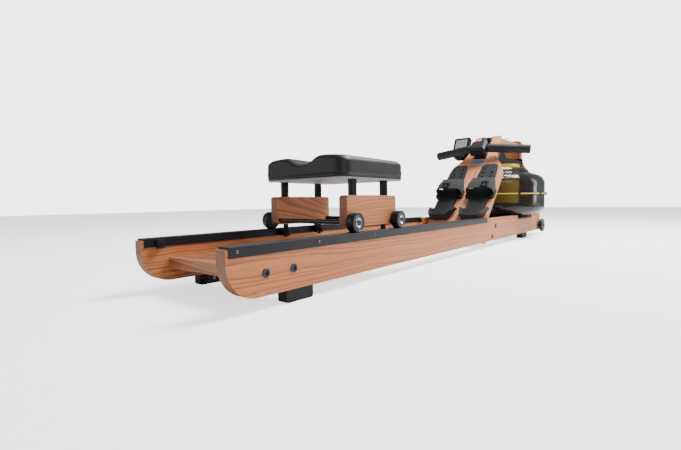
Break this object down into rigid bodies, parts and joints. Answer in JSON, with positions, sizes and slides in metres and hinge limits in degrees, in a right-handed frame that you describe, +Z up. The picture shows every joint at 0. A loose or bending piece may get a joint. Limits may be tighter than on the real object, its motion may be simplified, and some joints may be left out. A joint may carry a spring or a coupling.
{
  "type": "rowing machine",
  "caption": "Water-resistance rowing machine: sliding seat on two timber rails, inclined foot board with strapped footrests, smoked tank with an impeller, and a pull handle on a strap.",
  "frame": {"origin": "on the floor, at the middle of the machine's length and width", "axes": "+X to the rower's right, +Y from the seat towards the tank, +Z up"},
  "size_m": [0.508, 2.132, 0.531],
  "materials": {
    "wood": "oiled ash, stained brown",
    "track_black": "satin black",
    "steel_black": "satin black powder coat",
    "rubber_black": "matt",
    "seat_foam": "moulded foam with a fine grained skin",
    "seat_shell": "plain grey moulding",
    "plastic_black": "fine texture",
    "wheel_black": "hard polyurethane",
    "webbing_black": "woven webbing",
    "tank_smoke": "smoked clear polycarbonate",
    "gasket_yellow": "bright yellow seal",
    "reservoir_olive": "tinted yellow, clear",
    "screen_grey": "unlit liquid crystal display",
    "button_light": "light green",
    "bright_steel": "plain",
    "impeller_grey": "moulded"
  },
  "bodies": {
    "frame": {"right_rail": "wood", "left_rail": "wood", "rear_crossboard": "wood", "foot_board": "wood", "front_board": "wood", "board_cleats": "wood", "top_struts": "wood", "right_track": "track_black", "left_track": "track_black", "drive_bridge": "steel_black", "tank_cradle": "steel_black", "roller_bracket": "steel_black", "wheel_brackets": "steel_black", "strut_brace": "steel_black", "monitor_arm": "steel_black", "rail_bolts": "steel_black", "feet": "rubber_black", "seat_stops": "rubber_black", "handle_cradle": "plastic_black", "footrest_bases": "plastic_black", "strap_buckles": "plastic_black", "tank_fill_plug": "plastic_black", "tank_clamps": "plastic_black", "foot_straps": "webbing_black", "drive_strap": "webbing_black", "tank_lower_shell": "tank_smoke", "tank_upper_shell": "tank_smoke", "tank_gasket": "gasket_yellow", "inner_reservoir": "reservoir_olive", "frame_screws": "bright_steel"},
    "carriage": {"seat_pad": "seat_foam", "seat_plate": "seat_shell", "carriage_blocks": "wood", "seat_posts": "steel_black", "carriage_axles": "steel_black"},
    "handle": {"handle_bar": "steel_black", "handle_body": "plastic_black", "handle_grips": "rubber_black", "pull_strap": "webbing_black"},
    "roller": {"strap_roller": "plastic_black"},
    "spool": {"drive_spool": "plastic_black"},
    "impeller": {"impeller": "impeller_grey", "drive_shaft": "bright_steel"},
    "dial": {"resistance_dial": "reservoir_olive"},
    "monitor": {"monitor_housing": "plastic_black", "monitor_screen": "screen_grey"},
    "button_1": {"monitor_button_1": "button_light"},
    "button_2": {"monitor_button_2": "button_light"},
    "heel_right": {"heel_slide_right": "plastic_black"},
    "heel_left": {"heel_slide_left": "plastic_black"},
    "transport_right": {"transport_wheel_right": "wheel_black"},
    "transport_left": {"transport_wheel_left": "wheel_black"},
    "wheel_right_rear": {"seat_wheel_right_rear": "wheel_black"},
    "guide_right_rear": {"guide_roller_right_rear": "wheel_black"},
    "wheel_right_front": {"seat_wheel_right_front": "wheel_black"},
    "guide_right_front": {"guide_roller_right_front": "wheel_black"},
    "wheel_left_rear": {"seat_wheel_left_rear": "wheel_black"},
    "guide_left_rear": {"guide_roller_left_rear": "wheel_black"},
    "wheel_left_front": {"seat_wheel_left_front": "wheel_black"},
    "guide_left_front": {"guide_roller_left_front": "wheel_black"}
  },
  "joints": [
    {"name": "seat_slide", "type": "slide", "parent": "frame", "child": "carriage", "axis": [0, 1, 0], "range_m": [-0.335, 0.655]},
    {"name": "handle_pull", "type": "slide", "parent": "frame", "child": "handle", "axis": [0, -1, 0], "range_m": [0, 1.2], "stiffness_N_per_m": 12, "springref_m": -0.5, "deforming": ["pull_strap"]},
    {"name": "roller_spin", "type": "hinge", "parent": "frame", "child": "roller", "pos_m": [0, 0.62556, 0.49681], "axis": [1, 0, 0], "range_deg": [0, 4930]},
    {"name": "spool_spin", "type": "hinge", "parent": "frame", "child": "spool", "pos_m": [0, 0.732, 0.394], "axis": [0, 0, 1], "range_deg": [-2100, 0]},
    {"name": "impeller_spin", "type": "hinge", "parent": "frame", "child": "impeller", "pos_m": [0, 0.732, 0.14], "axis": [0, 0, 1], "continuous": true},
    {"name": "dial_turn", "type": "hinge", "parent": "frame", "child": "dial", "pos_m": [0, 0.732, 0.3765], "axis": [0, 0, 1], "range_deg": [-60, 60]},
    {"name": "monitor_tilt", "type": "hinge", "parent": "frame", "child": "monitor", "pos_m": [-0.09, 0.608, 0.468], "axis": [1, 0, 0], "range_deg": [-10, 30]},
    {"name": "button_1_press", "type": "slide", "parent": "monitor", "child": "button_1", "axis": [0, 0.9063, -0.4226], "range_m": [0, 0.0015], "stiffness_N_per_m": 60},
    {"name": "button_2_press", "type": "slide", "parent": "monitor", "child": "button_2", "axis": [0, 0.9063, -0.4226], "range_m": [0, 0.0015], "stiffness_N_per_m": 60},
    {"name": "heel_slide_right_adjust", "type": "slide", "parent": "frame", "child": "heel_right", "axis": [0, 0.7138, 0.7004], "range_m": [-0.027, 0.027]},
    {"name": "heel_slide_left_adjust", "type": "slide", "parent": "frame", "child": "heel_left", "axis": [0, 0.7138, 0.7004], "range_m": [-0.027, 0.027]},
    {"name": "transport_right_spin", "type": "hinge", "parent": "frame", "child": "transport_right", "pos_m": [0.174, 1.0303, 0.0485], "axis": [1, 0, 0], "continuous": true},
    {"name": "transport_left_spin", "type": "hinge", "parent": "frame", "child": "transport_left", "pos_m": [-0.174, 1.0303, 0.0485], "axis": [1, 0, 0], "continuous": true},
    {"name": "wheel_right_rear_spin", "type": "hinge", "parent": "carriage", "child": "wheel_right_rear", "pos_m": [0.149, -0.694, 0.1445], "axis": [1, 0, 0], "continuous": true},
    {"name": "guide_right_rear_spin", "type": "hinge", "parent": "carriage", "child": "guide_right_rear", "pos_m": [0.1182, -0.666, 0.11], "axis": [0, 0, 1], "continuous": true},
    {"name": "wheel_right_front_spin", "type": "hinge", "parent": "carriage", "child": "wheel_right_front", "pos_m": [0.149, -0.498, 0.1445], "axis": [1, 0, 0], "continuous": true},
    {"name": "guide_right_front_spin", "type": "hinge", "parent": "carriage", "child": "guide_right_front", "pos_m": [0.1182, -0.526, 0.11], "axis": [0, 0, 1], "continuous": true},
    {"name": "wheel_left_rear_spin", "type": "hinge", "parent": "carriage", "child": "wheel_left_rear", "pos_m": [-0.149, -0.694, 0.1445], "axis": [1, 0, 0], "continuous": true},
    {"name": "guide_left_rear_spin", "type": "hinge", "parent": "carriage", "child": "guide_left_rear", "pos_m": [-0.1182, -0.666, 0.11], "axis": [0, 0, 1], "continuous": true},
    {"name": "wheel_left_front_spin", "type": "hinge", "parent": "carriage", "child": "wheel_left_front", "pos_m": [-0.149, -0.498, 0.1445], "axis": [1, 0, 0], "continuous": true},
    {"name": "guide_left_front_spin", "type": "hinge", "parent": "carriage", "child": "guide_left_front", "pos_m": [-0.1182, -0.526, 0.11], "axis": [0, 0, 1], "continuous": true}
  ],
  "couplings": [
    {"joint": "roller_spin", "follows": "handle_pull", "rad_per_m": 71.429},
    {"joint": "spool_spin", "follows": "handle_pull", "rad_per_m": -30.303},
    {"joint": "wheel_right_rear_spin", "follows": "seat_slide", "rad_per_m": -42.553},
    {"joint": "guide_right_rear_spin", "follows": "seat_slide", "rad_per_m": -71.429},
    {"joint": "wheel_right_front_spin", "follows": "seat_slide", "rad_per_m": -42.553},
    {"joint": "guide_right_front_spin", "follows": "seat_slide", "rad_per_m": -71.429},
    {"joint": "wheel_left_rear_spin", "follows": "seat_slide", "rad_per_m": -42.553},
    {"joint": "guide_left_rear_spin", "follows": "seat_slide", "rad_per_m": 71.429},
    {"joint": "wheel_left_front_spin", "follows": "seat_slide", "rad_per_m": -42.553},
    {"joint": "guide_left_front_spin", "follows": "seat_slide", "rad_per_m": 71.429}
  ]
}
